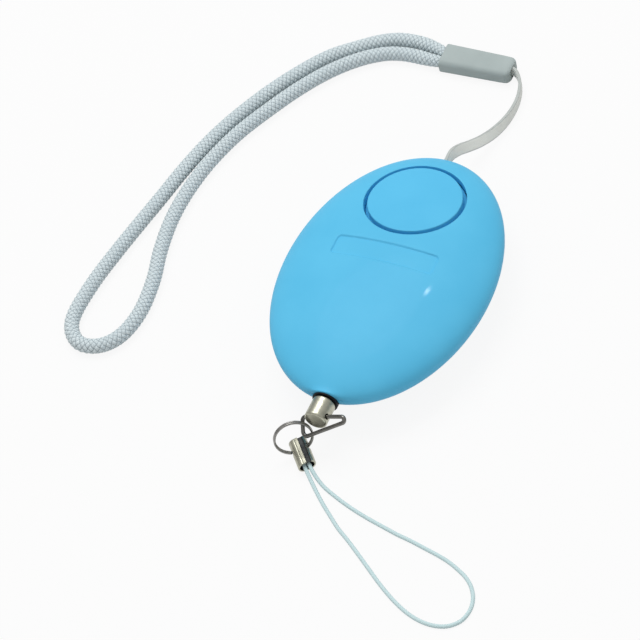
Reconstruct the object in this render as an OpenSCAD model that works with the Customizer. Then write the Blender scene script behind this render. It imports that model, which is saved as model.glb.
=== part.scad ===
// Personal safety alarm: an oval case of two shells with a press button, a pull pin,
// a wrist strap and a phone cord. Millimetres, +Z up. The origin is the middle of the
// flat rest face on the back, and +Y points to the button end.

/* [Case] */
// Length of the oval case
body_l = 62; // [61:0.5:66]
// Width of the oval case
body_w = 42.8; // [42:0.2:46]
// Height of the front dome above the joint between the covers
front_h = 7; // [6.8:0.1:8]
// Depth of the back bowl below the joint, down to the tip of its curve
back_depth = 9.6; // [9.4:0.1:10.4]
// Height cut off the tip of the back bowl for the flat rest face
rest_cut = 0.6; // [0.4:0.1:0.8]
// Wall of both covers
wall = 1.8; // [1.6:0.1:1.9]
// Floor left over the rest face
floor_t = 1.4; // [1.2:0.1:1.6]
// Height of the lip that locates the front cover in the back cover
lip_h = 1; // [0.8:0.1:1.2]
// Gap round the lip
lip_gap = 0.1; // [0.05:0.05:0.2]
// Length of the shallow band across the dome
band_l = 21.4; // [18:0.2:23]
// Width of the band
band_w = 4.7; // [3:0.1:5]
// Middle of the band along the case
band_y = 0.75; // [0:0.05:1]
// Depth of the band
band_d = 0.2; // [0.1:0.05:0.4]
// Radius of the band's corners
band_r = 0.8; // [0.4:0.1:1.4]

/* [Button] */
// Middle of the button along the case
button_y = 16; // [15.6:0.1:16.4]
// Diameter of the button
button_d = 19; // [18:0.1:19.4]
// Open seam round the button
button_seam = 0.6; // [0.3:0.05:0.7]
// Wall of the button's crown
button_wall = 1.6; // [1.2:0.1:2]
// Wall of the button's skirt
skirt_t = 1.2; // [0.8:0.1:1.6]
// Reach of the stop tabs beyond the skirt
tab_reach = 1.3; // [1.2:0.1:1.5]
// Width of a stop tab
tab_w = 5; // [3:0.2:6]
// Thickness of a stop tab
tab_t = 0.8; // [0.6:0.1:0.9]
// Wall of the guide collar under the dome
collar_t = 1.2; // [0.9:0.1:1.3]
// Height of the collar's lower edge above the joint
collar_h = 2.1; // [1.9:0.1:2.3]
// Travel of the button
button_travel = 0.6; // [0.3:0.1:0.7]
// Diameter of the stem that presses the switch
stem_d = 4; // [3:0.1:5]

/* [Screws] */
// Screw posts at the pin end, across the case
post_x_pin = 14.2; // [13.8:0.1:14.4]
// Screw posts at the pin end, along the case
post_y_pin = 14.5; // [14:0.1:15]
// Screw posts at the button end, across the case
post_x_far = 13.6; // [13.4:0.1:13.8]
// Screw posts at the button end, along the case
post_y_far = 17; // [16.6:0.1:17.2]
// Diameter of a screw post
post_d = 4; // [3.6:0.1:4.2]
// Width of the shoulder that carries the board
shoulder_w = 1; // [0.8:0.1:1.2]
// Diameter of the screw thread
screw_d = 1.7; // [1.4:0.1:2]
// Diameter of the screw head
head_d = 3; // [2.6:0.1:3.2]
// Height of the screw head
head_h = 1; // [0.8:0.1:1.2]
// Depth that the screw bites into the front cover
screw_bite = 2; // [1.6:0.1:2.2]
// Clearance round the screws
screw_gap = 0.1; // [0.05:0.05:0.2]
// Wall between the screw head and the board's shoulder
seat_wall = 0.7; // [0.6:0.1:0.8]

/* [Board] */
// Height of the board's underside above the rest face
board_z = 5.5; // [5.4:0.1:5.7]
// Thickness of the board
board_t = 1.2; // [0.8:0.1:1.4]
// Width of the board
board_w = 33.2; // [32:0.2:33.6]
// Length of the board
board_l = 50; // [48:0.5:50.5]
// Clearance of the board round the screw posts
board_gap = 0.15; // [0.1:0.05:0.3]
// Side of the square push switch
switch_w = 6; // [5:0.5:6.5]
// Height of the push switch
switch_h = 3.4; // [3:0.1:3.5]
// Diameter of the switch plunger
plunger_d = 3.5; // [3:0.1:3.6]
// Height of the plunger above the switch
plunger_h = 1.1; // [0.9:0.1:1.2]
// Depth of the plunger inside the switch
plunger_in = 0.9; // [0.6:0.1:1]
// Running clearance of the plunger
plunger_gap = 0.05; // [0.03:0.01:0.1]
// Diameter of the boost coil
coil_d = 5.4; // [4.5:0.1:5.6]
// Height of the boost coil
coil_h = 4.4; // [3.5:0.1:4.6]
// Boost coil across the board
coil_x = 12.4; // [12:0.1:12.6]
// Boost coil along the board
coil_y = 8; // [7.6:0.1:8.2]
// Width of the driver chip
chip_w = 4; // [3:0.1:4.4]
// Length of the driver chip
chip_l = 5; // [4:0.1:5.4]
// Height of the driver chip
chip_h = 1.5; // [1:0.1:1.8]

/* [Cells] */
// Diameter of a button cell
cell_d = 11.6; // [11:0.1:11.6]
// Height of a button cell
cell_h = 5.4; // [5:0.1:5.4]
// Clearance of a cell in its pocket
cell_gap = 0.15; // [0.1:0.05:0.2]
// Wall between two pockets
cell_web = 0.5; // [0.4:0.1:0.6]
// Outer wall of the tray
tray_wall = 0.8; // [0.6:0.1:0.9]
// Height of the tray
tray_h = 4; // [3:0.1:4.2]
// The pair of cells along the case
cell_y = -0.5; // [-0.8:0.1:-0.4]
// Thickness of the contact strips
strip_t = 0.3; // [0.2:0.05:0.4]
// Width of the contact strips
strip_w = 3; // [2:0.1:4]

/* [Sounder] */
// Diameter of the brass disc
disc_d = 25; // [24:0.1:25.2]
// Thickness of the brass disc
disc_t = 0.25; // [0.2:0.05:0.3]
// Diameter of the ceramic layer
ceramic_d = 19; // [17:0.1:20]
// Thickness of the ceramic layer
ceramic_t = 0.2; // [0.15:0.05:0.25]
// Height of the disc's seat above the rest face
disc_z = 3.6; // [3.6:0.05:3.8]
// Middle of the sounder along the case
disc_y = 6; // [5.6:0.1:6.2]
// Width of the disc's seat ring
seat_w = 1.4; // [1.2:0.1:1.8]
// Diameter of the seat ring
seat_d = 24; // [23:0.1:24]
// Diameter of a sounder lead
lead_d = 0.6; // [0.4:0.1:0.8]
// Width of a sound slot
slot_w = 1.2; // [0.8:0.1:1.4]
// Pitch of the sound slots
slot_pitch = 2.4; // [2:0.1:2.6]
// Radius of the round field of sound slots
slot_field = 6.4; // [6:0.1:7]

/* [Pull pin] */
// Diameter of the pin's head
pin_head_d = 4.6; // [4.4:0.1:4.7]
// Length of the pin's head
pin_head_l = 4.6; // [4.4:0.1:4.7]
// Depth of the pin's middle below the joint
pin_low = 0.7; // [0.6:0.05:0.75]
// Edge rounding of the pin's head
pin_edge = 0.4; // [0.3:0.05:0.5]
// Diameter of the pin's shank
shank_d = 2.5; // [2.3:0.05:2.5]
// Length of the pin's shank
shank_l = 12.4; // [12:0.1:12.8]
// Running clearance of the shank
shank_gap = 0.05; // [0.03:0.01:0.1]
// Diameter of the socket's bush
bush_d = 5.2; // [5:0.1:5.4]
// Height of the bush outside the case
bush_proud = 0.25; // [0.2:0.05:0.35]
// Clearance round the bush
bush_gap = 0.05; // [0.03:0.01:0.1]
// Gap between the pin's head and the bush
pin_seat = 0.1; // [0.05:0.05:0.2]
// Width of the socket block
block_w = 6.4; // [6.2:0.1:6.8]
// Length of the socket block
block_l = 7; // [6.8:0.1:7.1]
// Height of the socket block above the joint
block_h = 2; // [1.9:0.05:2.1]
// Distance from the end of the case to the socket block
block_in = 5.4; // [5.3:0.05:5.6]
// Width of the cavity for the contact leaves
leaf_room = 4.6; // [4.4:0.1:4.8]
// Height of a contact leaf
leaf_h = 2.4; // [2:0.1:2.6]
// Thickness of a contact leaf
leaf_t = 0.25; // [0.2:0.05:0.3]

/* [Link and ring] */
// Diameter of the cross hole in the pin's head
eye_d = 1.2; // [1.1:0.05:1.3]
// Distance from the cross hole to the end of the head
eye_end = 1.1; // [1.1:0.05:1.2]
// Turn of the cross hole about the pin
eye_turn = 20; // [18:1:22]
// Diameter of the link's wire
link_wire = 0.8; // [0.6:0.05:0.85]
// Bend radius at the link's wide corners
link_bend = 0.9; // [0.8:0.05:1]
// Bend radius at the link's narrow tip
tip_bend = 0.6; // [0.55:0.05:0.65]
// Reach of the link to the left of the pin
link_left = 3.6; // [3.6:0.1:3.8]
// Reach of the link's sharp corner to the right of the pin
link_right = 9.8; // [9.6:0.1:10]
// Left offset of the link's low corner
link_low_x = 3.6; // [3.5:0.1:3.7]
// Depth of the link's low corner
link_low = 4; // [4:0.1:4.2]
// Angle of the link below level
link_drop = 45; // [40:1:50]
// Outer diameter of the split ring
ring_d = 7.8; // [7.6:0.1:8]
// Diameter of the ring's wire
ring_wire = 0.44; // [0.36:0.02:0.46]
// Distance of the ring's wire from the link's low corner
ring_off = 2.45; // [2.4:0.05:2.5]
// Shift of the ring's wire along the link's low bend
ring_shift = 0.25; // [0.25:0.05:0.35]
// Angle of the ring below level
ring_fall = 79; // [77:1:81]
// Direction in which the ring faces
ring_turn = 306; // [304:1:308]
// Angle round the ring from its lowest point to the link
ring_hang = 109; // [107:1:111]

/* [Cord end] */
// Length of the folded cord end
clamp_l = 6.2; // [5.8:0.1:6.2]
// Width of the cord end
clamp_w = 3.6; // [3.4:0.1:3.8]
// Thickness of the cord end
clamp_t = 2.7; // [2.6:0.1:2.8]
// Sheet thickness of the cord end
clamp_sheet = 0.35; // [0.3:0.05:0.4]
// Width of the open slit along the cord end
clamp_slit = 0.6; // [0.4:0.1:0.8]
// Slit's offset from the middle of the cord end
slit_off = 0.6; // [0.4:0.1:0.7]
// Diameter of the eye for the ring
clamp_eye = 1.8; // [1.7:0.05:1.9]
// Distance from the eye to the end of the cord end
clamp_eye_end = 2.1; // [1.9:0.1:2.2]
// Angle of the cord end below level
clamp_fall = 2.5; // [2:0.5:3]
// Direction in which the cord end points
clamp_turn = 311; // [309:1:313]
// Angle round the ring from its lowest point to the cord end, which leans as much
clamp_round = 12; // [10:1:14]
// Diameter of the phone cord
thin_d = 0.8; // [0.7:0.05:0.8]

/* [Wrist strap] */
// Width of the flat ribbon
ribbon_w = 2.3; // [1.8:0.1:2.3]
// Thickness of the doubled ribbon
ribbon_t = 0.7; // [0.5:0.05:0.75]
// Clearance of the ribbon in its slot
ribbon_gap = 0.15; // [0.1:0.05:0.2]
// Diameter of the post inside that holds the ribbon
anchor_d = 1.6; // [1.4:0.1:1.8]
// Distance from the end of the case to the middle of the post
anchor_in = 3.8; // [3.75:0.05:3.9]
// Length of the sleeve
sleeve_l = 15.8; // [14:0.1:17]
// Width of the sleeve where the cord goes in
sleeve_w = 6.2; // [6.1:0.1:6.6]
// Width of the sleeve where the ribbon goes in
sleeve_small = 5.6; // [5:0.1:5.8]
// Height of the sleeve
sleeve_h = 3.4; // [3.4:0.1:3.7]
// Rounding of the sleeve's long edges
sleeve_r = 1.1; // [0.8:0.1:1.2]
// Depth of the openings in the sleeve's ends
sleeve_mouth = 2; // [1.5:0.1:2.5]
// Clearance of the cord and the ribbon in the sleeve
sleeve_gap = 0.15; // [0.1:0.05:0.2]
// Diameter of the braided cord
strap_d = 3.1; // [2.9:0.05:3.1]
// Diameter of the braided cord where the sleeve squeezes it
strap_in = 2.5; // [2.3:0.05:2.5]

/* [Hidden] */
$fn = 72;

blue = "#6ac6e9";
nickel = "#c9c9c6";
far = 100;
touch = 0.05;

case_a = body_w / 2;
case_b = body_l / 2;
joint_z = back_depth - rest_cut;
lip_root = 0.4;
lip_step = 0.2;
rebate_run = 0.6;

collar_z = joint_z + collar_h;
tab_gap = 0.1;
tab_z = collar_z - tab_gap - tab_t;
button_r = button_d / 2;
hole_r = button_r + button_seam;

posts = [[post_x_pin, -post_y_pin], [-post_x_pin, -post_y_pin], [post_x_far, post_y_far], [-post_x_far, post_y_far]];
screw_seat = board_z - seat_wall;
board_top = board_z + board_t;
switch_top = board_top + switch_h;
plunger_top = switch_top + plunger_h;
switch_bore = plunger_in + button_travel + 0.2;

cell_x = cell_d / 2 + cell_gap + cell_web / 2;
cell_low_y = cell_y - sqrt(3) * cell_x;
cells = [[cell_x, cell_y], [-cell_x, cell_y], [0, cell_low_y]];
pocket_r = cell_d / 2 + cell_gap;
tray_r = pocket_r + tray_wall;
cell_z = board_top + strip_t;
cell_top = cell_z + cell_h;
strip_run = 2;
leg_gap = 0.4;
leg_x = tray_r + leg_gap;
rib_t = 1.2;

ceramic_z = disc_z + disc_t;
slot_count = floor(2 * slot_field / slot_pitch / 2) * 2 + 1;

socket_face = -(case_b + bush_proud);
block_y = -(case_b - block_in);
pin_z = joint_z - pin_low;
block_end = block_y + block_l;
pin_y = socket_face - pin_seat;
eye_y = pin_y - pin_head_l + eye_end;
leaf_wall = 1.2;
leaf_bump = shank_d / 2 + 0.1;

anchor_y = case_b - anchor_in;

// The link's corners in its own plane: across the pin, and up from the cross hole
link_pts = [[-link_left, 0], [-link_low_x, -link_low], [link_right, 0]];
link_radii = [link_bend, link_bend, tip_bend];
bend_swell = 0.03;
bend_root = 0.1;

function unit(v) = v / norm(v);
link_across = [cos(eye_turn), 0, sin(eye_turn)];
link_up = [-sin(link_drop) * sin(eye_turn), cos(link_drop), sin(link_drop) * cos(eye_turn)];
function link_to_part(p) = [0, eye_y, pin_z] + p[0] * link_across + p[1] * link_up;
low_in = unit(unit(link_pts[0] - link_pts[1]) + unit(link_pts[2] - link_pts[1]));
low_side = [low_in[1], -low_in[0]];
ring_hook = link_to_part(link_pts[1] + ring_off * low_in + ring_shift * low_side);

// The ring's own directions: downhill and level
ring_r = ring_d / 2 - ring_wire / 2;
ring_down = [cos(ring_fall) * cos(ring_turn), cos(ring_fall) * sin(ring_turn), -sin(ring_fall)];
ring_side = [-sin(ring_turn), cos(ring_turn), 0];
ring_mid = ring_hook - ring_r * (cos(ring_hang) * ring_down + sin(ring_hang) * ring_side);
clamp_sag = pow(clamp_w / 2, 2) / (2 * ring_r);
clamp_out = cos(clamp_round) * ring_down + sin(clamp_round) * ring_side;
clamp_at = ring_mid + (ring_r - clamp_sag / 2) * clamp_out;

sleeve_z = sleeve_h / 2;
sleeve_turn = 180;
sleeve_at = [0.7, 64];

// Route of the braided wrist loop, out of the sleeve and back
strap_route = [
    [-13.6, 65.28, sleeve_z], [-15.3, 65.3, sleeve_z], [-17.4, 66, 1.62], [-19.8, 66.6, 1.55], [-22.6, 66.9, 1.55],
    [-26.3, 66.6, 1.55], [-29.9, 65.2, 1.55], [-34.2, 62.3, 1.55], [-39.1, 58.3, 1.55], [-43.4, 52.6, 1.55],
    [-47.5, 45.7, 1.55], [-50.8, 38.6, 1.55], [-53.1, 32.6, 1.55], [-54.8, 26.6, 1.55], [-56.2, 20, 1.55],
    [-57.4, 12.5, 1.55], [-58.7, 5, 1.55], [-60, -3, 1.55], [-61.1, -11.5, 1.55], [-61.3, -20, 1.55],
    [-60, -24.4, 1.55], [-57.1, -27, 1.55], [-53.7, -27, 1.55], [-50.8, -25, 1.55], [-49, -21.3, 1.55],
    [-48.4, -15.5, 1.55], [-49.4, -8, 1.55], [-51.3, -0.8, 1.55], [-52.6, 7, 1.55], [-52.8, 14.3, 1.55],
    [-52.1, 21.6, 1.55], [-50.8, 27.7, 1.55], [-48.8, 33.9, 1.55], [-45.5, 41, 1.55], [-41.7, 48.1, 1.55],
    [-37.4, 54.3, 1.55], [-32.8, 58.9, 1.55], [-28.4, 61.7, 1.55], [-24.8, 62.8, 1.55], [-21.3, 63, 1.55],
    [-17.8, 62.75, 1.62], [-15.3, 62.72, sleeve_z], [-13.6, 62.72, sleeve_z]];

// The braided cord is thinner where it goes into the sleeve
function strap_half(i) = let (n = len(strap_route), e = min(i, n - 1 - i))
    e < 2 ? strap_in / 2 : e == 2 ? (strap_in + strap_d) / 4 : strap_d / 2;

// Route of the thin phone cord, out of the cord end and back
thin_route = [
    [-1.6, -39.7, 1.7], [0, -41.5, 1.6], [1.8, -43.1, 1], [4.2, -44.7, 0.5], [7.6, -46.3, 0.4], [11.1, -47.7, 0.4],
    [14.8, -48.9, 0.4], [18.5, -49.9, 0.4], [22, -50.8, 0.4], [25, -51.4, 0.4], [27.8, -52.1, 0.4],
    [30.6, -52.8, 0.4], [33.2, -53.6, 0.4], [35.6, -54.7, 0.4], [37.8, -56, 0.4], [39.6, -57.8, 0.4],
    [40.8, -60.1, 0.4], [41.1, -62.6, 0.4], [40.4, -65, 0.4], [38.6, -66.7, 0.4], [36.2, -67.4, 0.4],
    [33.6, -67.3, 0.4], [31, -66.6, 0.4], [28.4, -65.4, 0.4], [25.7, -63.8, 0.4], [22.8, -61.8, 0.4],
    [19.8, -59.5, 0.4], [16.8, -57.2, 0.4], [13.6, -54.8, 0.4], [10.6, -52.7, 0.4], [8, -50.5, 0.4],
    [5.6, -48.4, 0.4], [3.3, -46.2, 0.5], [1.1, -44, 0.9], [-0.7, -42.1, 1.4], [-2.2, -40.3, 1.5]];

// Route of the flat ribbon, out of the case and into the sleeve, with the turn of its wide side
ribbon_route = [
    [0, 28.2, 9, 90], [0, 31, 9, 90], [0.1, 33.4, 8.8, 100], [0.4, 36.2, 7.3, 112], [0.9, 39.2, 5.2, 122],
    [1.8, 42.6, 3.3, 124], [3, 46, 2.3, 116], [3.9, 49.6, 1.7, 104], [4.4, 53.2, 1.5, 94], [4.3, 56.8, 1.4, 90],
    [3.6, 60, 1.5, 90], [2.4, 62.4, 1.6, 90], [1, 63.8, sleeve_z, 90], [-0.6, 64, sleeve_z, 90]];

// One direction along a route at point i
function along(route, i) = unit(route[min(i + 1, len(route) - 1)] - route[max(i - 1, 0)]);
function spot(p) = [p[0], p[1], p[2]];
function spots(route) = [for (p = route) spot(p)];
function level_side(t) = unit(cross(t, [0, 0, 1]));

// Outline of one ring of a swept cord, an oval that is turned about the route
function ring_at(route, i, half_w, half_t, turn, sides) =
    let (t = along(route, i), s = level_side(t), u = cross(s, t))
    [for (k = [0:sides - 1])
        let (q = 360 * (k + 0.5) / sides, x = half_w * cos(q), y = half_t * sin(q))
        route[i] + (x * cos(turn) - y * sin(turn)) * s + (x * sin(turn) + y * cos(turn)) * u];

function skin(rings, sides) = concat(
    [for (i = [0:rings - 2], k = [0:sides - 1]) [i * sides + k, i * sides + (k + 1) % sides, (i + 1) * sides + k]],
    [for (i = [0:rings - 2], k = [0:sides - 1])
        [i * sides + (k + 1) % sides, (i + 1) * sides + (k + 1) % sides, (i + 1) * sides + k]],
    [for (k = [1:sides - 2]) [0, k + 1, k]],
    [for (k = [1:sides - 2]) let (o = (rings - 1) * sides) [o, o + k, o + k + 1]]);

// A cord along a route, with its half sizes and the angle of its wide side at each point
module swept(route, half_w, half_t, turns, sides = 8) {
    points = [for (i = [0:len(route) - 1]) each ring_at(route, i, half_w[i], half_t[i], turns[i], sides)];
    polyhedron(points = points, faces = skin(len(route), sides));
}

// Half of the oval case as a full solid, drawn in from its outside by an offset
module bowl(depth, inset, up) {
    translate([0, 0, joint_z])
        scale([case_a - inset, case_b - inset, depth - inset])
            rotate([90, 0, 0]) rotate([0, 0, up ? -90 : 90]) sphere(r = 1);
}

// Everything between two heights
module slab(z0, z1) {
    translate([-far, -far, z0]) cube([2 * far, 2 * far, z1 - z0]);
}

// Round tube standing at a point
module tube(r_out, r_in, h) {
    difference() {
        cylinder(r = r_out, h = h);
        translate([0, 0, -1]) cylinder(r = r_in, h = h + 2);
    }
}

// Oval band between two insets from the case's outline
module oval_ring(inset_out, inset_in, z0, z1) {
    translate([0, 0, z0]) difference() {
        scale([case_a - inset_out, case_b - inset_out, 1]) cylinder(r = 1, h = z1 - z0);
        translate([0, 0, -1]) scale([case_a - inset_in, case_b - inset_in, 1]) cylinder(r = 1, h = z1 - z0 + 2);
    }
}

// Openings that the two covers share: the bush at the pin end and the ribbon at the far end
module shared_openings() {
    translate([0, block_y, pin_z]) rotate([90, 0, 0]) cylinder(r = bush_d / 2 + bush_gap, h = far);
    slot_x = ribbon_t + 2 * ribbon_gap;
    slot_z = ribbon_w + 2 * ribbon_gap;
    slot_y = anchor_y + anchor_d / 2 + touch;
    translate([-slot_x / 2, slot_y, joint_z - slot_z / 2]) cube([slot_x, far, slot_z]);
}

// Flat outline with round corners
module round_plate(w, l, r) {
    square([w, l - 2 * r], center = true);
    square([w - 2 * r, l], center = true);
    for (x = [-1, 1], y = [-1, 1]) translate([x * (w / 2 - r), y * (l / 2 - r)]) circle(r = r);
}

module front_cover() color(blue) difference() {
    union() {
        intersection() {
            bowl(front_h, 0, true);
            slab(joint_z, joint_z + far);
        }
        oval_ring(wall / 2 + lip_gap, wall - lip_step, joint_z - lip_h, joint_z + lip_root);
    }
    difference() {
        bowl(front_h, wall, true);
        translate([0, button_y, collar_z]) cylinder(r = hole_r + collar_t, h = front_h);
        for (p = posts) translate([p[0], p[1], joint_z]) cylinder(d = post_d, h = front_h);
        translate([0, anchor_y, joint_z]) cylinder(d = anchor_d, h = front_h);
        translate([-cell_x, cell_y - rib_t / 2, cell_top + strip_t + touch]) cube([2 * cell_x, rib_t, front_h]);
        translate([-rib_t / 2, cell_low_y - strip_w / 2, cell_top + strip_t + touch])
            cube([rib_t, strip_w, front_h]);
    }
    translate([0, button_y, joint_z]) cylinder(r = hole_r, h = far);
    difference() {
        translate([0, band_y, joint_z]) linear_extrude(far) round_plate(band_l, band_w, band_r);
        bowl(front_h, band_d, true);
    }
    for (p = posts) translate([p[0], p[1], 0]) cylinder(d = screw_d + screw_gap, h = joint_z + screw_bite + screw_gap);
    shared_openings();
}

module sound_slots() {
    for (i = [0:slot_count - 1]) {
        dy = (i - (slot_count - 1) / 2) * slot_pitch;
        run = 2 * sqrt(max(pow(slot_field, 2) - dy * dy, slot_w * slot_w));
        translate([0, disc_y + dy, -1]) linear_extrude(disc_z) {
            square([run - slot_w, slot_w], center = true);
            for (x = [-1, 1]) translate([x * (run - slot_w) / 2, 0]) circle(d = slot_w);
        }
    }
}

module back_cover() color(blue) difference() {
    intersection() {
        bowl(back_depth, 0, false);
        slab(0, joint_z);
    }
    difference() {
        intersection() {
            bowl(back_depth, wall, false);
            slab(floor_t, joint_z + far);
        }
        translate([0, disc_y, 0]) tube(seat_d / 2, seat_d / 2 - seat_w, disc_z);
        for (p = posts) translate([p[0], p[1], 0]) {
            cylinder(d = post_d + 2 * shoulder_w, h = board_z);
            cylinder(d = post_d, h = joint_z);
        }
        translate([0, anchor_y, 0]) cylinder(d = anchor_d, h = joint_z);
    }
    oval_ring(wall / 2, wall + rebate_run, joint_z - lip_h - lip_gap, joint_z + 1);
    for (p = posts) translate([p[0], p[1], -1]) {
        cylinder(d = screw_d + 2 * screw_gap, h = far);
        cylinder(d = head_d + 4 * screw_gap, h = screw_seat + 1);
    }
    sound_slots();
    shared_openings();
}

module case_screws() color(nickel) for (p = posts) translate([p[0], p[1], screw_seat]) difference() {
    union() {
        cylinder(d = screw_d, h = joint_z + screw_bite - screw_seat);
        translate([0, 0, -head_h]) cylinder(d = head_d, h = head_h);
    }
    for (a = [0, 90]) rotate([0, 0, a])
        translate([-head_d * 0.3, -screw_d * 0.15, -head_h - 1]) cube([head_d * 0.6, screw_d * 0.3, 1 + head_h / 2]);
}

module circuit_board() color("#2e7d4f") translate([0, 0, board_z]) difference() {
    scale([board_w / 2, board_l / 2, 1]) cylinder(r = 1, h = board_t);
    for (p = posts) translate([p[0], p[1], -1]) cylinder(d = post_d + 2 * board_gap, h = board_t + 2);
}

module switch_housing() color("#2b2b2b") translate([0, button_y, board_top]) difference() {
    linear_extrude(switch_h) round_plate(switch_w, switch_w, switch_w / 12);
    translate([0, 0, switch_h - switch_bore]) cylinder(d = plunger_d + 2 * plunger_gap, h = switch_h);
}

module switch_plunger() color("#e8e4d8") translate([0, button_y, switch_top - plunger_in])
    cylinder(d = plunger_d, h = plunger_in + plunger_h);

module battery_tray() color("#3a3d42") translate([0, 0, board_top]) linear_extrude(tray_h) difference() {
    union() {
        for (c = cells) translate(c) circle(r = tray_r);
        polygon(cells);
    }
    for (c = cells) translate(c) circle(r = pocket_r);
}

module button_cells() color("#d6d6d4") for (c = cells) translate([c[0], c[1], cell_z])
    rotate_extrude() union() {
        square([cell_d / 2, cell_h * 0.8]);
        square([cell_d / 2 * 0.88, cell_h]);
    }

module lower_contacts() color(nickel) translate([0, 0, board_top]) {
    translate([cell_x - strip_w / 2, cell_y - strip_w / 2, 0]) cube([strip_w, strip_w, strip_t]);
    translate([-cell_x, cell_y, 0]) cylinder(d = strip_w, h = strip_t);
    translate([0, cell_low_y, 0]) cylinder(d = strip_w, h = strip_t);
}

module upper_contacts() color(nickel) translate([0, 0, cell_top]) {
    translate([-cell_x - strip_run, cell_y - strip_w / 2, 0]) cube([2 * (cell_x + strip_run), strip_w, strip_t]);
    translate([-strip_w / 2, cell_low_y - strip_w / 2, 0]) cube([leg_x + strip_t + strip_w / 2, strip_w, strip_t]);
    translate([leg_x, cell_low_y - strip_w / 2, board_top - cell_top])
        cube([strip_t, strip_w, cell_top - board_top + strip_t]);
}

module boost_coil() color("#4a4038") translate([-coil_x, coil_y, board_top]) rotate_extrude() union() {
    square([coil_d / 2 * 0.8, coil_h]);
    square([coil_d / 2, coil_h * 0.16]);
    translate([0, coil_h * 0.84]) square([coil_d / 2, coil_h * 0.16]);
}

module driver_chip() color("#26282b") translate([coil_x, coil_y, board_top]) {
    translate([-chip_w / 2, -chip_l / 2, 0]) cube([chip_w, chip_l, chip_h]);
}

module sounder_disc() color("#c8a55a") translate([0, disc_y, disc_z]) cylinder(d = disc_d, h = disc_t);

module sounder_ceramic() color("#e9e6dc") translate([0, disc_y, ceramic_z]) cylinder(d = ceramic_d, h = ceramic_t);

module sounder_leads() color("#b03030") {
    ceramic_top = ceramic_z + ceramic_t;
    translate([0, disc_y, ceramic_top]) cylinder(d = lead_d, h = board_z - ceramic_top);
    rim_x = (disc_d + ceramic_d) / 4;
    translate([rim_x, disc_y, ceramic_z]) cylinder(d = lead_d, h = board_z - ceramic_z);
}

module pin_socket() color("#1c1d1f") difference() {
    union() {
        translate([-block_w / 2, block_y, board_top]) cube([block_w, block_l, joint_z + block_h - board_top]);
        translate([0, block_y, pin_z]) rotate([90, 0, 0]) cylinder(d = bush_d, h = block_y - socket_face);
    }
    translate([0, block_end + 1, pin_z]) rotate([90, 0, 0])
        cylinder(d = shank_d + 2 * shank_gap, h = block_end - socket_face + 2);
    translate([-leaf_room / 2, block_y + leaf_wall, pin_z - leaf_h / 2])
        cube([leaf_room, block_l, leaf_h]);
}

// One contact leaf: flat on the cavity's side, bent in to the pin and out to its tail
module socket_leaf() {
    wall_x = leaf_room / 2;
    y0 = block_y + leaf_wall + 0.2;
    tail_y = block_end + leaf_t + touch;
    outer = [[wall_x, y0], [wall_x, y0 + 1.4], [leaf_bump + leaf_t, y0 + 3], [leaf_bump + leaf_t, y0 + 3.6],
        [wall_x, tail_y - 0.8], [wall_x, tail_y]];
    inner = [for (i = [len(outer) - 1:-1:0]) outer[i] - [leaf_t, 0]];
    translate([0, 0, pin_z - leaf_h / 2]) linear_extrude(leaf_h) polygon(concat(outer, inner));
    translate([wall_x - leaf_t, block_end + touch, board_top]) cube([leaf_t, leaf_t, pin_z - board_top]);
}

module socket_leaves() color("#c8a55a") {
    socket_leaf();
    mirror([1, 0, 0]) socket_leaf();
}

module alarm_button() color(blue) difference() {
    union() {
        intersection() {
            bowl(front_h, 0, true);
            translate([0, button_y, tab_z]) cylinder(r = button_r, h = far);
        }
        for (a = [0, 180, 270]) translate([0, button_y, tab_z]) rotate([0, 0, a]) intersection() {
            cylinder(r = button_r + tab_reach, h = tab_t);
            translate([button_r - skirt_t / 2, -tab_w / 2, 0]) cube([far, tab_w, tab_t]);
        }
    }
    difference() {
        intersection() {
            bowl(front_h, button_wall, true);
            translate([0, button_y, joint_z]) cylinder(r = button_r - skirt_t, h = far);
        }
        translate([0, button_y, plunger_top + touch]) cylinder(d = stem_d, h = far);
    }
}

module pull_pin() color(nickel) translate([0, pin_y, pin_z]) rotate([90, 0, 0]) difference() {
    rotate_extrude() {
        r = pin_head_d / 2;
        square([r - pin_edge, pin_head_l]);
        translate([0, pin_edge]) square([r, pin_head_l - 2 * pin_edge]);
        for (h = [pin_edge, pin_head_l - pin_edge]) translate([r - pin_edge, h]) circle(r = pin_edge);
        translate([0, -shank_l + shank_d / 2]) square([shank_d / 2, shank_l]);
        translate([0, -shank_l + shank_d / 2]) intersection() {
            circle(d = shank_d);
            translate([0, -shank_d]) square(shank_d);
        }
    }
    translate([0, 0, pin_head_l - eye_end]) rotate([0, 0, eye_turn]) rotate([0, 90, 0])
        cylinder(d = eye_d, h = 2 * pin_head_d, center = true);
}

// Closed wire loop through corner points, each rounded by its own bend radius; a bend is a hair thicker
module bent_wire(pts, radii, d) {
    n = len(pts);
    to_prev = [for (i = [0:n - 1]) unit(pts[(i + n - 1) % n] - pts[i])];
    to_next = [for (i = [0:n - 1]) unit(pts[(i + 1) % n] - pts[i])];
    half = [for (i = [0:n - 1]) acos(to_prev[i] * to_next[i]) / 2];
    reach = [for (i = [0:n - 1]) radii[i] / tan(half[i])];
    ends = [for (i = [0:n - 1]) reach[i] - bend_root];
    for (i = [0:n - 1]) {
        mid = pts[i] + unit(to_prev[i] + to_next[i]) * radii[i] / sin(half[i]);
        from = pts[i] + to_prev[i] * reach[i] - mid;
        translate(mid) rotate([0, 0, atan2(from[1], from[0])])
            rotate_extrude(angle = 180 - 2 * half[i]) translate([radii[i], 0]) circle(d = d + bend_swell);
        next = (i + 1) % n;
        a = pts[i] + to_next[i] * ends[i];
        b = pts[next] + to_prev[next] * ends[next];
        translate(a) rotate([0, 0, atan2(b[1] - a[1], b[0] - a[0])]) rotate([0, 90, 0]) cylinder(d = d, h = norm(b - a));
    }
}

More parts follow.
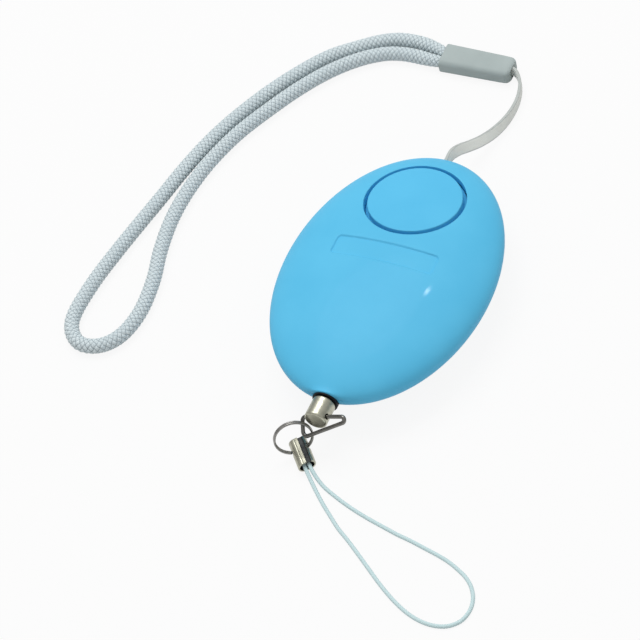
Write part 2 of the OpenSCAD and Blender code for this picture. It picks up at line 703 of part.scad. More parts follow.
module wire_link() color(nickel) translate([0, eye_y, pin_z]) rotate([0, -eye_turn, 0]) rotate([link_drop, 0, 0])
    bent_wire(link_pts, link_radii, link_wire);

// Two turns of wire that lie against each other
module split_ring() color(nickel) translate(ring_mid) rotate([0, 0, ring_turn]) rotate([0, ring_fall, 0])
    rotate_extrude() for (s = [-1, 1]) translate([ring_r, s * ring_wire / 2 * 0.98]) circle(d = ring_wire);

module long_oval(w, t) {
    square([w - t, t], center = true);
    for (s = [-1, 1]) translate([s * (w - t) / 2, 0]) circle(d = t);
}

module cord_end() color(nickel) translate(clamp_at) rotate([0, 0, clamp_turn]) rotate([0, clamp_fall, 0])
    rotate([clamp_round, 0, 0]) difference() {
        translate([-clamp_eye_end, 0, 0]) rotate([90, 0, 90]) linear_extrude(clamp_l) difference() {
            long_oval(clamp_w, clamp_t);
            long_oval(clamp_w - 2 * clamp_sheet, clamp_t - 2 * clamp_sheet);
            translate([slit_off - clamp_slit / 2, 0]) square([clamp_slit, clamp_t]);
        }
        rotate([90, 0, 0]) cylinder(d = clamp_eye, h = 2 * clamp_w, center = true);
    }

module phone_cord() color("#aed8dc")
    let (h = [for (p = thin_route) thin_d / 2]) swept(thin_route, h, h, [for (p = thin_route) 0]);

module strap_ribbon() color("#d5d8da") {
    swept(spots(ribbon_route), [for (p = ribbon_route) ribbon_w / 2], [for (p = ribbon_route) ribbon_t / 2],
        [for (p = ribbon_route) p[3]]);
    loop_r = anchor_d / 2 + touch;
    translate([0, anchor_y, joint_z - ribbon_w / 2]) tube(loop_r + ribbon_t / 2, loop_r, ribbon_w);
}

// Soft sleeve, square at the cord and rounded off at the ribbon, with an opening in each end
module strap_sleeve() color("#9aa5a9") translate([sleeve_at[0], sleeve_at[1], sleeve_z])
    rotate([0, 0, sleeve_turn]) difference() {
        hull() for (y = [-1, 1], z = [-1, 1]) {
            translate([sleeve_r, y * (sleeve_small / 2 - sleeve_r), z * (sleeve_h / 2 - sleeve_r)])
                sphere(r = sleeve_r, $fn = 32);
            translate([sleeve_l - sleeve_r, y * (sleeve_w / 2 - sleeve_r), z * (sleeve_h / 2 - sleeve_r)])
                rotate([0, 90, 0]) cylinder(r = sleeve_r, h = sleeve_r, $fn = 32);
        }
        translate([sleeve_l - sleeve_mouth, 0, 0]) rotate([90, 0, 90]) linear_extrude(2 * sleeve_mouth)
            long_oval(2 * (strap_in + sleeve_gap), strap_in + 2 * sleeve_gap);
        translate([-sleeve_mouth, 0, 0]) rotate([90, 0, 90]) linear_extrude(2 * sleeve_mouth)
            square([ribbon_t + 4 * sleeve_gap, ribbon_w + 2 * sleeve_gap], center = true);
    }

module strap_cord() color("#b9c6d2")
    let (h = [for (i = [0:len(strap_route) - 1]) strap_half(i)]) swept(strap_route, h, h, [for (p = strap_route) 0]);

front_cover();
back_cover();
case_screws();
circuit_board();
switch_housing();
switch_plunger();
battery_tray();
button_cells();
lower_contacts();
upper_contacts();
boost_coil();
driver_chip();
sounder_disc();
sounder_ceramic();
sounder_leads();
pin_socket();
socket_leaves();
alarm_button();
pull_pin();
wire_link();
split_ring();
cord_end();
phone_cord();
strap_ribbon();
strap_sleeve();
strap_cord();
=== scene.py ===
# Personal safety alarm lying on a table: an oval blue case with a press button, a pull pin
# on a chain of wire, ring and cord end, and a braided wrist loop on a flat tape.
import math

import bpy
import numpy as np
from mathutils import Matrix, Vector


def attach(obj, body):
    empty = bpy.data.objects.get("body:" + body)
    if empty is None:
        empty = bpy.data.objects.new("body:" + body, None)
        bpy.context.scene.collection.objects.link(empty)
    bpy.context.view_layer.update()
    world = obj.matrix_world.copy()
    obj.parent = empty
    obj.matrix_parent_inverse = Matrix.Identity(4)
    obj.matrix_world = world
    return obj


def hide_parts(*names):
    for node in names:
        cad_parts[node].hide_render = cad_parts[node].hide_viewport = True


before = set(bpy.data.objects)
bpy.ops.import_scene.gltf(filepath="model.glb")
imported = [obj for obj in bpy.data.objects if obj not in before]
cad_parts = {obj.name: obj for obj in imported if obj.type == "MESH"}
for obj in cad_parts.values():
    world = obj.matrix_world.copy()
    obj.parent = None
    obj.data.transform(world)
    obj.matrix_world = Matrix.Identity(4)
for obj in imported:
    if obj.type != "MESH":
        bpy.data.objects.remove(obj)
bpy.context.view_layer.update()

# Back cover: the lower half of the case, moulded in blue plastic with a fine satin texture.
# It has the flat rest face, the sound slots and four screw wells, and keeps its CAD shape.


def new_group(name, takes, gives):
    group = bpy.data.node_groups.new(name, "ShaderNodeTree")
    for label, kind, value in takes:
        socket = group.interface.new_socket(label, in_out="INPUT", socket_type=kind)
        if value is not None:
            socket.default_value = value
    for label, kind in gives:
        group.interface.new_socket(label, in_out="OUTPUT", socket_type=kind)
    return group, group.nodes.new("NodeGroupInput"), group.nodes.new("NodeGroupOutput")


def add_node(tree, kind, settings=None, **inputs):
    """Adds a node whose inputs are given by label, or by place as in0, in1 and so on."""
    made = tree.nodes.new(kind)
    for key, value in (settings or {}).items():
        setattr(made, key, value)
    for key, value in inputs.items():
        socket = made.inputs[int(key[2:])] if key.startswith("in") else made.inputs[key.replace("_", " ")]
        if isinstance(value, bpy.types.NodeSocket):
            tree.links.new(value, socket)
        else:
            socket.default_value = value
    return made


def maths(tree, operation, first, second=0.0):
    return add_node(tree, "ShaderNodeMath", {"operation": operation}, in0=first, in1=second).outputs[0]


def spread(tree, value, low, high, to_low, to_high):
    made = add_node(tree, "ShaderNodeMapRange", None, Value=value)
    made.inputs["From Min"].default_value = low
    made.inputs["From Max"].default_value = high
    made.inputs["To Min"].default_value = to_low
    made.inputs["To Max"].default_value = to_high
    return made.outputs[0]


def tint(tree, share, first, second):
    made = add_node(tree, "ShaderNodeMix", {"data_type": "RGBA"})
    for socket, value in ((made.inputs[0], share), (made.inputs[6], first), (made.inputs[7], second)):
        if isinstance(value, bpy.types.NodeSocket):
            tree.links.new(value, socket)
        else:
            socket.default_value = value
    return made.outputs[2]


def paint(red, green, blue):
    parts = []
    for part in (red, green, blue):
        share = part / 255
        parts.append(share / 12.92 if share <= 0.04045 else ((share + 0.055) / 1.055) ** 2.4)
    return (*parts, 1.0)


def new_finish(name):
    finish = bpy.data.materials.new(name)
    finish.use_nodes = True
    tree = finish.node_tree
    return finish, tree, tree.nodes["Principled BSDF"]


def raise_bump(tree, shader, height, strength, depth):
    bump = add_node(tree, "ShaderNodeBump", None, Height=height)
    bump.inputs["Strength"].default_value = strength
    bump.inputs["Distance"].default_value = depth
    tree.links.new(bump.outputs[0], shader.inputs["Normal"])


# Texture of a moulded part: fine spark-eroded grain, broad mottling and a few hairline scuffs
moulded, taken, given = new_group(
    "moulded_texture",
    [("Grain", "NodeSocketFloat", 3000.0)],
    [("Height", "NodeSocketFloat"), ("Mottling", "NodeSocketFloat"), ("Scuff", "NodeSocketFloat")],
)
mottle_scale, warp_scale, warp_reach = 90.0, 60.0, 0.006
scuff_turn, scuff_stretch = (0.3, 0.2, 0.9), (900.0, 40.0, 300.0)
place = add_node(moulded, "ShaderNodeTexCoord").outputs["Object"]
grain = add_node(moulded, "ShaderNodeTexNoise", None, Vector=place, Scale=taken.outputs["Grain"], Detail=3.0)
broad = add_node(moulded, "ShaderNodeTexNoise", None, Vector=place, Scale=mottle_scale, Detail=4.0)
warp = add_node(moulded, "ShaderNodeTexNoise", None, Vector=place, Scale=warp_scale, Detail=2.0)
bent = add_node(moulded, "ShaderNodeVectorMath", {"operation": "MULTIPLY_ADD"}, in0=warp.outputs["Color"])
bent.inputs[1].default_value = (warp_reach, warp_reach, warp_reach)
moulded.links.new(place, bent.inputs[2])
stretch = add_node(moulded, "ShaderNodeMapping", None, Vector=bent.outputs[0])
stretch.inputs["Rotation"].default_value = scuff_turn
stretch.inputs["Scale"].default_value = scuff_stretch
hair = add_node(moulded, "ShaderNodeTexNoise", None, Vector=stretch.outputs[0], Scale=1.0, Detail=1.0)
scuff = spread(moulded, hair.outputs["Fac"], 0.70, 0.80, 0.0, 1.0)
moulded.links.new(grain.outputs["Fac"], given.inputs["Height"])
moulded.links.new(broad.outputs["Fac"], given.inputs["Mottling"])
moulded.links.new(scuff, given.inputs["Scuff"])


def moulded_finish(name, colour, deeper, rough, grain_scale, depth, coat=0.0, grained_band=None):
    finish, tree, shader = new_finish(name)
    out = add_node(tree, "ShaderNodeGroup", {"node_tree": moulded}, Grain=grain_scale).outputs
    base = tint(tree, spread(tree, out["Mottling"], 0.35, 0.65, 0.0, 1.0), deeper, colour)
    height = out["Height"]
    if grained_band:
        half_l, half_w, middle_y = grained_band
        soft_edge, fine_scale, fine_lift = 0.0003, 4000.0, 2.5
        where = add_node(tree, "ShaderNodeTexCoord").outputs["Object"]
        axis = add_node(tree, "ShaderNodeSeparateXYZ", None, Vector=where)
        off_x = maths(tree, "ABSOLUTE", axis.outputs["X"])
        off_y = maths(tree, "ABSOLUTE", maths(tree, "SUBTRACT", axis.outputs["Y"], middle_y))
        in_x = spread(tree, off_x, half_l - soft_edge, half_l, 1.0, 0.0)
        in_y = spread(tree, off_y, half_w - soft_edge, half_w, 1.0, 0.0)
        inside_band = maths(tree, "MULTIPLY", in_x, in_y)
        fine = add_node(tree, "ShaderNodeTexNoise", None, Vector=where, Scale=fine_scale, Detail=2.0)
        fine_grain = spread(tree, fine.outputs["Fac"], 0.35, 0.65, 0.0, fine_lift)
        height = maths(tree, "ADD", height, maths(tree, "MULTIPLY", inside_band, fine_grain))
    tree.links.new(base, shader.inputs["Base Color"])
    matt = spread(tree, out["Mottling"], 0.3, 0.7, rough - 0.04, rough + 0.05)
    matt = maths(tree, "ADD", matt, maths(tree, "MULTIPLY", out["Scuff"], 0.08))
    tree.links.new(matt, shader.inputs["Roughness"])
    raise_bump(tree, shader, height, 0.25, depth)
    shader.inputs["IOR"].default_value = 1.5
    shader.inputs["Specular IOR Level"].default_value = 0.12
    shader.inputs["Coat Weight"].default_value = coat
    shader.inputs["Coat Roughness"].default_value = 0.07
    return finish


case_blue, deeper_blue = paint(93, 191, 231), paint(88, 187, 228)
satin_rough, satin_grain, satin_depth, satin_coat = 0.5, 5000.0, 0.00002, 0.04
blue_plastic = moulded_finish(
    "blue_plastic", case_blue, deeper_blue, satin_rough, satin_grain, satin_depth, satin_coat
)


def dress(node, finish):
    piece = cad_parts[node]
    piece.data.materials.clear()
    piece.data.materials.append(finish)


dress("back_cover", blue_plastic)

# Front cover: the domed upper half, of the same blue plastic. Its rim closes on the back cover,
# the button sits in its round hole, and a shallow bare band is sunk across the dome. The posts and
# ribs inside it aren't drawn.
MM = 0.001
case_half_w, case_half_l, dome_h, joint_z = 21.4, 31.0, 7.0, 9.0
button_y, hole_r, hole_edge = 16.0, 10.18, 0.18
band_half_l, band_half_w, band_corner, band_y, band_depth = 10.7, 2.35, 0.8, 0.75, 0.32
nose_y, nose_half_w = -30.97, 4.6
bush_axis_z, bush_hole_r, bush_from_y = 8.3, 2.5, -24.0
wall, rim_gap, shell_sides = 1.8, 0.02, 720


def dome_z(x, y, inset=0.0):
    flat = (x / (case_half_w - inset)) ** 2 + (y / (case_half_l - inset)) ** 2
    return joint_z + (dome_h - inset) * np.sqrt(np.maximum(1.0 - flat, 0.0))


def rim_reach(angle, inset=0.0):
    """Distance from the button's middle to the rim of the case, at an angle."""
    a, b = case_half_w - inset, case_half_l - inset
    k2 = (np.cos(angle) / a) ** 2 + (np.sin(angle) / b) ** 2
    k1 = button_y * np.sin(angle) / b**2
    k0 = (button_y / b) ** 2 - 1.0
    return (-k1 + np.sqrt(k1**2 - k2 * k0)) / k2


def step_up(value, low, high):
    share = np.clip((value - low) / (high - low), 0.0, 1.0)
    return share * share * (3.0 - 2.0 * share)


def band_sink(x, y):
    dx = np.abs(x) - band_half_l + band_corner
    dy = np.abs(y - band_y) - band_half_w + band_corner
    corner = np.hypot(np.maximum(dx, 0.0), np.maximum(dy, 0.0))
    away = corner + np.minimum(np.maximum(dx, dy), 0.0) - band_corner
    return band_depth * (1.0 - step_up(away, -0.18, 0.12))


def nose_lift(x, y):
    """Swelling over the bush: steep at the very end, with a longer and lower foot."""
    from_end = np.maximum(y - nose_y, 0.0)
    along = np.exp(-from_end / 0.5) + 0.8 * np.exp(-from_end / 1.2)
    return along * np.exp(-((x / nose_half_w) ** 2))


def ring_faces(rows, columns, close_rows=False):
    faces = []
    for i in range(rows if close_rows else rows - 1):
        here, there = i * columns, ((i + 1) % rows) * columns
        for j in range(columns):
            k = (j + 1) % columns
            faces.append((here + j, here + k, there + k, there + j))
    return faces


def capped(rows_count, sides):
    faces = ring_faces(rows_count, sides)
    faces.append(tuple(range(sides))[::-1])
    faces.append(tuple(range((rows_count - 1) * sides, rows_count * sides)))
    return faces


def add_piece(name, points, faces, body, finish, stands_for=()):
    mesh = bpy.data.meshes.new(name)
    mesh.from_pydata([tuple(p) for p in points], [], faces)
    mesh.materials.append(finish)
    mesh.shade_smooth()
    mesh.update()
    piece = bpy.data.objects.new(name, mesh)
    bpy.context.scene.collection.objects.link(piece)
    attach(piece, body)
    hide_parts(*stands_for)
    return piece


def round_row(ways, radius, height):
    x = radius * ways[:, 0]
    y = button_y + radius * ways[:, 1]
    z = height(x, y) if callable(height) else np.broadcast_to(height, x.shape)
    return np.stack([x, y, z], 1)


def dome_edge(ways, radius, step):
    """Height of the dome on a circle round the button's middle, and its slope there."""
    here = dome_z(radius * ways[:, 0], button_y + radius * ways[:, 1])
    there = dome_z((radius + step) * ways[:, 0], button_y + (radius + step) * ways[:, 1])
    return here, (there - here) / step


def rounded_rows(ways, flat_r, edge_r, flat_z, slope):
    """Rows that round an edge off, inward where edge_r is below zero."""
    made = []
    for bend in np.radians((90, 75, 60, 45, 30, 15)):
        radius = flat_r + edge_r * math.sin(bend)
        drop = abs(edge_r) * (1.0 - math.cos(bend))
        made.append(round_row(ways, radius, flat_z + slope * (radius - flat_r) - drop))
    return made


def cover_z(x, y):
    return dome_z(x, y) + nose_lift(x, y) - band_sink(x, y)


def inner_z(x, y):
    return dome_z(x, y, wall)


# The columns crowd together at the pin end, and the rows at the rim
turns = np.linspace(0.0, 2.0 * np.pi, shell_sides, endpoint=False)
turns = turns - 0.6 * np.cos(turns)
outward = np.stack([np.cos(turns), np.sin(turns)], 1)
rim_r = rim_reach(turns)
inner_r = rim_reach(turns, wall)
lip_r = hole_r + hole_edge
lip_z, lip_slope = dome_edge(outward, lip_r, 0.2)
rows = []
for height in (11.1, 11.4, 12.2):
    below_lip = lip_z - hole_edge - 0.4 - 0.3 * (12.2 - height)
    rows.append(round_row(outward, hole_r, np.minimum(height, below_lip)))
rows += rounded_rows(outward, lip_r, -hole_edge, lip_z, lip_slope)
even_shares = np.linspace(0.0, 0.5, 120, endpoint=False)
rim_shares = 1.0 - np.linspace(math.sqrt(0.5), 0.0, 56) ** 2
for share in np.concatenate([even_shares, rim_shares]):
    rows.append(round_row(outward, lip_r + (rim_r - lip_r) * share, cover_z))
rows.append(round_row(outward, rim_r - rim_gap, joint_z - rim_gap))
rows.append(round_row(outward, inner_r, joint_z - rim_gap))
collar_r = hole_r + 1.2
for share in np.linspace(0.97, 0.03, 14):
    rows.append(round_row(outward, collar_r + (inner_r - collar_r) * share, inner_z))
shell = np.concatenate(rows)

# Points in the way of the bush are pushed out to its hole
from_axis = np.hypot(shell[:, 0], shell[:, 2] - bush_axis_z)
in_the_way = (shell[:, 1] < bush_from_y) & (from_axis < bush_hole_r)
push = np.where(in_the_way, bush_hole_r / from_axis, 1.0)
shell[:, 0] *= push
shell[:, 2] = bush_axis_z + (shell[:, 2] - bush_axis_z) * push
band_floor = ((band_half_l - 0.1) * MM, (band_half_w - 0.1) * MM, band_y * MM)
front_plastic = moulded_finish(
    "front_plastic", case_blue, deeper_blue, satin_rough, satin_grain, satin_depth, satin_coat, band_floor
)
add_piece(
    "front_cover_shell", shell * MM, ring_faces(len(rows), shell_sides, True), "case",
    front_plastic, ["front_cover"],
)

# Alarm button: a round blue cap that continues the dome, moulded in the same plastic as the case.
# It slides in the hole of the front cover, with an open seam all round. Its tabs aren't drawn.
cap_r, cap_edge, seam_r, seam_d = 9.4, 0.18, 10.08, 2.1
cap_ways = outward[::3]
cap_sides = len(cap_ways)
cap_lip = cap_r - cap_edge
lip_z, lip_slope = dome_edge(cap_ways, cap_lip, -0.2)
seam_z = lip_z - seam_d
under_cap = (
    (0.2, 13.2), (7.5, 12.6), (8.3, 10.2), (9.9, 10.2), (seam_r, 10.3), (seam_r, seam_z - 0.1),
    (seam_r - 0.1, seam_z), (cap_r + 0.12, seam_z), (cap_r, seam_z + 0.12),
)
cap_rows = [round_row(cap_ways, radius, height) for radius, height in under_cap]
cap_rows += rounded_rows(cap_ways, cap_lip, cap_edge, lip_z, lip_slope)
cap_rows += [round_row(cap_ways, radius, dome_z) for radius in np.linspace(cap_lip, 0.15, 44)]
cap_points = np.concatenate(cap_rows)
cap_faces = [tuple(reversed(face)) for face in capped(len(cap_rows), cap_sides)]
button_plastic = moulded_finish(
    "button_plastic", paint(91, 190, 232), paint(86, 186, 229), 0.48, satin_grain, satin_depth, satin_coat
)
add_piece(
    "alarm_button_cap", cap_points * MM, cap_faces, "button", button_plastic, ["alarm_button"]
)

# Inside of the case: board, switch, cells with their strips, coil, chip, sounder and socket leaves.
# They are bought or stamped parts, closed in by the covers, and keep their CAD shapes.
black_plastic = moulded_finish("black_plastic", paint(30, 31, 34), paint(20, 21, 23), 0.42, 4000.0, 0.00003)
pale_plastic = moulded_finish(
    "pale_plastic", paint(226, 222, 210), paint(214, 209, 196), 0.45, 4000.0, 0.00002
)
board_green = moulded_finish("board_lacquer", paint(46, 122, 78), paint(38, 104, 66), 0.3, 1500.0, 0.00003)
ceramic_white = moulded_finish(
    "fired_ceramic", paint(232, 229, 218), paint(222, 217, 204), 0.6, 2500.0, 0.00003
)
coil_brown = moulded_finish("coil_enamel", paint(84, 60, 44), paint(66, 46, 34), 0.35, 1800.0, 0.00004)
lead_red = moulded_finish("lead_jacket", paint(172, 46, 44), paint(152, 38, 38), 0.4, 2500.0, 0.00002)

# Marks of polished metal: fine drawing lines, smears and tiny pits
polished, taken, given = new_group(
    "polish_marks",
    [("Along", "NodeSocketVector", None)],
    [("Line", "NodeSocketFloat"), ("Smear", "NodeSocketFloat"), ("Pit", "NodeSocketFloat")],
)
place = add_node(polished, "ShaderNodeTexCoord").outputs["Object"]
drawn = add_node(polished, "ShaderNodeMapping", None, Vector=place, Scale=taken.outputs["Along"])
line = add_node(polished, "ShaderNodeTexNoise", None, Vector=drawn.outputs[0], Scale=1.0, Detail=2.0)
smear = add_node(polished, "ShaderNodeTexNoise", None, Vector=place, Scale=700.0, Detail=4.0)
pits = add_node(polished, "ShaderNodeTexVoronoi", None, Vector=place, Scale=2600.0)
pit = spread(polished, pits.outputs["Distance"], 0.05, 0.16, 1.0, 0.0)
polished.links.new(line.outputs["Fac"], given.inputs["Line"])
polished.links.new(smear.outputs["Fac"], given.inputs["Smear"])
polished.links.new(pit, given.inputs["Pit"])


def metal_finish(name, colour, duller, rough, along):
    finish, tree, shader = new_finish(name)
    marks = add_node(tree, "ShaderNodeGroup", {"node_tree": polished})
    marks.inputs["Along"].default_value = along
    out = marks.outputs
    base = tint(tree, spread(tree, out["Smear"], 0.35, 0.7, 0.0, 1.0), colour, duller)
    tree.links.new(base, shader.inputs["Base Color"])
    matt = spread(tree, out["Smear"], 0.3, 0.7, rough - 0.05, rough + 0.07)
    matt = maths(tree, "ADD", matt, maths(tree, "MULTIPLY", out["Pit"], 0.15))
    tree.links.new(matt, shader.inputs["Roughness"])
    shader.inputs["Metallic"].default_value = 1.0
    raise_bump(tree, shader, out["Line"], 0.12, 0.00001)
    return finish


turned_lines = (9000.0, 500.0, 9000.0)
nickel = metal_finish("polished_nickel", paint(186, 184, 174), paint(160, 158, 148), 0.18, turned_lines)
brass = metal_finish("drawn_brass", paint(206, 172, 98), paint(186, 150, 80), 0.3, (6000.0, 800.0, 800.0))
cell_steel = metal_finish(
    "cell_steel", paint(214, 214, 212), paint(196, 196, 194), 0.28, (6000.0, 900.0, 900.0)
)
inside = (
    ("circuit_board", board_green),
    ("switch_housing", black_plastic),
    ("switch_plunger", pale_plastic),
    ("battery_tray", black_plastic),
    ("button_cells", cell_steel),
    ("lower_contacts", nickel),
    ("upper_contacts", nickel),
    ("boost_coil", coil_brown),
    ("driver_chip", black_plastic),
    ("sounder_disc", brass),
    ("sounder_ceramic", ceramic_white),
    ("sounder_leads", lead_red),
    ("socket_leaves", brass),
)
for node, finish in inside:
    dress(node, finish)

# Case screws: four small plated steel screws, driven from the back through the posts of the back
# cover into the front cover. Their flat heads lie at the bottom of the wells.
screw_spots = ((14.2, -14.5), (-14.2, -14.5), (13.6, 17.0), (-13.6, 17.0))
head_r, crown_r, shank_r, tip_r = 1.15, 1.1, 0.85, 0.7
head_z, seat_z, screw_top, screw_sides = 4.5, 4.8, 11.0, 64
cross_half_w, cross_r, cross_d = 0.2, 0.78, 0.16
around_screw = np.linspace(0.0, 2.0 * np.pi, screw_sides, endpoint=False)
screw_profile = [(r, head_z + 0.06 * (r / crown_r) ** 4) for r in np.linspace(0.03, crown_r, 16)]
screw_profile += [
    (head_r, head_z + 0.12), (head_r, seat_z), (shank_r, seat_z), (shank_r, screw_top - 0.2),
    (tip_r, screw_top), (0.02, screw_top),
]
screw_points, screw_faces = [], []
for spot_x, spot_y in screw_spots:
    first = len(screw_points)
    for radius, height in screw_profile:
        for turn in around_screw:
            x, y = radius * math.cos(turn), radius * math.sin(turn)
            in_cross = float(step_up(cross_half_w - min(abs(x), abs(y)), 0.0, 0.06))
            in_reach = float(step_up(cross_r - radius, 0.0, 0.08))
            recess = cross_d * in_cross * in_reach if height < seat_z else 0.0
            screw_points.append((spot_x + x, spot_y + y, height + recess))
    for face in capped(len(screw_profile), screw_sides):
        screw_faces.append(tuple(first + corner for corner in reversed(face)))
screw_points = np.array(screw_points) * MM
add_piece("case_screws_flat", screw_points, screw_faces, "case", nickel, ["case_screws"])

# Pin socket: a black moulded block with a round bush that stands out of the pin end of the case.
# It is clamped between the two covers.
dress("pin_socket", black_plastic)

# Pull pin: turned from bar and nickel plated, with a round head, a cross hole for the link and a
# plain shank that plugs into the bush.
satin_nickel = metal_finish("satin_nickel", paint(190, 189, 172), paint(166, 165, 150), 0.34, turned_lines)
dress("pull_pin", satin_nickel)

# Wire link: round nickel-plated wire, bent into a closed three-cornered loop. It hangs in the pin's
# cross hole and keeps its CAD shape.
even_marks = (2000.0, 2000.0, 2000.0)
# The wire's nickel is far darker than the pin's: painted shade standing in for the dark reflections on the
# thin wire.
shaded_wire_nickel = metal_finish("wire_nickel", paint(124, 123, 119), paint(98, 97, 94), 0.2, even_marks)
dress("wire_link", shaded_wire_nickel)

# Split ring: springy plated wire wound nearly twice round, with its ends lying on the turns. It is
# threaded on the link and through the eye of the cord end.
ring_mid = np.array([-3.9712, -38.625, 5.01018])
ring_turn, ring_fall = math.radians(306), math.radians(79)
ring_frame = Matrix.Rotation(ring_turn, 3, "Z") @ Matrix.Rotation(ring_fall, 3, "Y")
ring_r, wire_r, half_pitch, wire_sides = 3.68, 0.22, 0.2156, 12


def route_tube(route, section, up=(0.0, 0.0, 1.0)):
    """Points of rings round a route; section gives each ring's offsets from its place along the route."""
    ahead = np.gradient(route, axis=0)
    ahead /= np.linalg.norm(ahead, axis=1)[:, None]
    side = np.cross(ahead, up)
    side /= np.linalg.norm(side, axis=1)[:, None]
    rise = np.cross(side, ahead)
    run = np.concatenate([[0.0], np.cumsum(np.linalg.norm(np.diff(route, axis=0), axis=1))])
    points = []
    for i in range(len(route)):
        across, tall = section(run[i], i)
        points.append(route[i] + across[:, None] * side[i] + tall[:, None] * rise[i])
    return np.concatenate(points), run


wind = np.radians(np.linspace(8.0, 704.0, 260))
level = np.interp(np.degrees(wind), (335, 385), (-half_pitch, half_pitch))
coil = np.stack([ring_r * np.cos(wind), ring_r * np.sin(wind), level], 1)
coil = coil @ np.array(ring_frame).T + ring_mid
around_wire = np.linspace(0.0, 2.0 * np.pi, wire_sides, endpoint=False)


def wire_section(run, i):
    from_end = min(i, len(wind) - 1 - i)
    radius = wire_r * (0.72, 0.93, 1.0)[min(from_end, 2)]
    return radius * np.cos(around_wire), radius * np.sin(around_wire)


# The ring's nickel is darker than the pin's: painted shade standing in for the dark reflections on the thin
# wire.
shaded_ring_nickel = metal_finish("ring_nickel_painted_shade", paint(158, 157, 153), paint(128, 127, 124), 0.22, even_marks)
points, run = route_tube(coil, wire_section, np.array(ring_frame @ Vector((0, 0, 1))))
add_piece(
    "split_ring_wire", points * MM, capped(len(coil), wire_sides), "ring",
    shaded_ring_nickel, ["split_ring"],
)

# Cord end: nickel sheet folded round the two ends of the thin cord, one edge tucked under the other,
# with a cross eye at the upper end for the split ring. It is squeezed shut on the cord.
end_turn, end_fall, end_round = math.radians(311), math.radians(2.5), math.radians(12)
end_frame = Matrix.Rotation(end_turn, 3, "Z") @ Matrix.Rotation(end_fall, 3, "Y")
end_frame = np.array(end_frame @ Matrix.Rotation(end_round, 3, "X"))
end_place = np.array([-3.00967, -38.7246, 1.68808])
bend_r, bend_off, sheet_t, edge_t, tuck_t = 1.35, 0.45, 0.34, 0.2, 0.12
eye_r, eye_reach, eye_sides = 0.9, 3.0, 40

# The fold seen along the cord: the upper edge, both bends and the tucked edge
left_bend, right_bend = np.radians(np.linspace(90, 270, 31)), np.radians(np.linspace(-90, 52, 25))
fold = [(y, bend_r - 0.08 * math.exp(-(((y + 0.5) / 0.16) ** 2))) for y in np.linspace(0.3, -0.375, 10)]
fold += [(-bend_off + bend_r * math.cos(t), bend_r * math.sin(t)) for t in left_bend]
fold += [(-0.15, -bend_r), (0.15, -bend_r)]
fold += [(bend_off + bend_r * math.cos(t), bend_r * math.sin(t)) for t in right_bend]
tuck_from = len(fold) - 1
fold += [(1.16, 0.98), (1.0, 0.95), (0.8, 0.945), (0.55, 0.95), (0.3, 0.955), (0.05, 0.96)]
fold = np.array(fold)
heading = np.gradient(fold, axis=0)
heading /= np.linalg.norm(heading, axis=1)[:, None]
inward = np.stack([-heading[:, 1], heading[:, 0]], 1)
sheet = np.full(len(fold), sheet_t)
sheet[0] = edge_t
sheet[tuck_from:] = tuck_t
count = len(fold)
loop_count = 2 * count
stations = (
    (-2.1, 0.07), (-2.07, 0.02), (-2.0, 0.0), (-1.0, 0.0), (1.0, 0.0), (2.4, 0.0), (4.0, 0.0), (4.07, 0.02),
    (4.1, 0.07),
)
end_rows = []
for x, pinch in stations:
    outer = fold + inward * pinch
    inner = fold + inward * (sheet - 0.5 * pinch)[:, None]
    loop = np.concatenate([outer, inner[::-1]])
    end_rows.append(np.column_stack([np.full(loop_count, x), loop]))
faces = ring_faces(len(end_rows), loop_count)
last = (len(end_rows) - 1) * loop_count
for j in range(count - 1):
    k = loop_count - 1 - j
    faces.append((j + 1, j, k, k - 1))
    faces.append((last + j, last + j + 1, last + k - 1, last + k))
points = np.concatenate(end_rows) @ end_frame.T + end_place
cord_end = add_piece("cord_end_fold", points * MM, faces, "cord", satin_nickel, ["cord_end"])
# The tucked flap is drawn in a near-black rough nickel: painted shade in the fold under the upper edge.
dull_nickel = metal_finish("dull_nickel", paint(74, 76, 76), paint(52, 54, 55), 0.5, (6000.0, 6000.0, 900.0))
cord_end.data.materials.append(dull_nickel)
for i in range(len(end_rows) - 1):
    for j in range(tuck_from, loop_count - 1):
        cord_end.data.polygons[i * loop_count + j].material_index = 1

# The eye is drilled through both walls
eye_points = []
for y in (-eye_reach, eye_reach):
    for t in np.linspace(0.0, 2.0 * np.pi, eye_sides, endpoint=False):
        eye_points.append((eye_r * math.cos(t), y, eye_r * math.sin(t)))
eye_points = (np.array(eye_points) @ end_frame.T + end_place) * MM
eye_faces = [tuple(reversed(face)) for face in capped(2, eye_sides)]
eye_mesh = bpy.data.meshes.new("eye_drill")
eye_mesh.from_pydata([tuple(p) for p in eye_points], [], eye_faces)
eye_mesh.materials.append(satin_nickel)
eye_drill = bpy.data.objects.new("eye_drill", eye_mesh)
bpy.context.scene.collection.objects.link(eye_drill)
drilled = cord_end.modifiers.new("eye", "BOOLEAN")
drilled.object = eye_drill
drilled.solver = "EXACT"
bpy.context.view_layer.update()
pierced = bpy.data.meshes.new_from_object(cord_end.evaluated_get(bpy.context.evaluated_depsgraph_get()))
cord_end.modifiers.clear()
cord_end.data = pierced
pierced.set_sharp_from_angle(angle=math.radians(38))
bpy.data.objects.remove(eye_drill)

